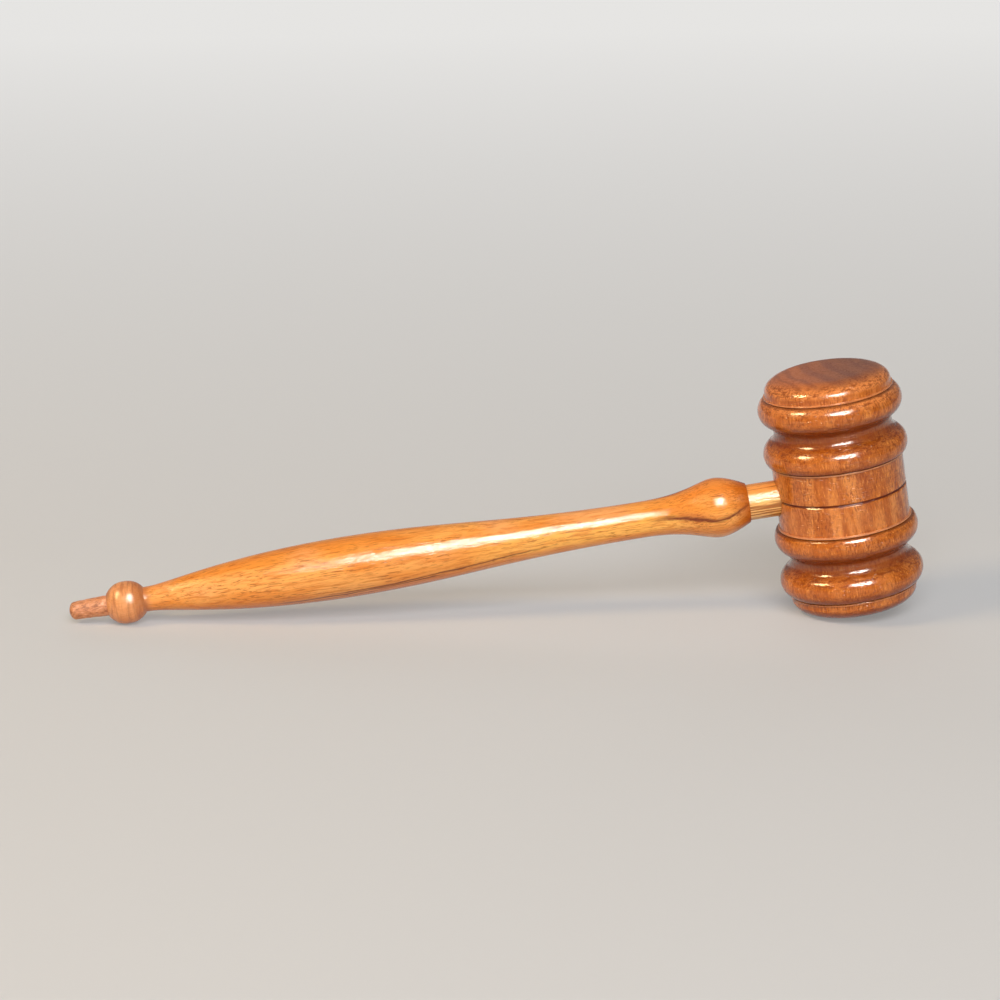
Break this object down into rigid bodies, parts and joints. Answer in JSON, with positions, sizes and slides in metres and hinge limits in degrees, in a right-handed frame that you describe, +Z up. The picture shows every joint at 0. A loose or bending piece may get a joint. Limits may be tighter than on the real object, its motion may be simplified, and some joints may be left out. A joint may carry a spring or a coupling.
{
  "type": "gavel",
  "caption": "Turned wooden gavel with a bead-and-cove head and a long swelling handle, lying at rest on the rim of its head and the ball at its butt.",
  "frame": {"origin": "on the surface that the gavel lies on, under the middle of its bounding box", "axes": "+X along the length, from the butt towards the head; +Y across; +Z up"},
  "size_m": [0.3012, 0.0506, 0.0895],
  "materials": {
    "head": "gloss varnish over reddish-brown hardwood",
    "handle": "gloss varnish over orange-brown hardwood",
    "neck_dowel": "gloss varnish over straw-coloured hardwood",
    "butt_peg": "bare whittled wood, nearly matt"
  },
  "bodies": {
    "root": {"head": "head", "handle": "handle", "neck_dowel": "neck_dowel", "butt_peg": "butt_peg"}
  },
  "joints": []
}
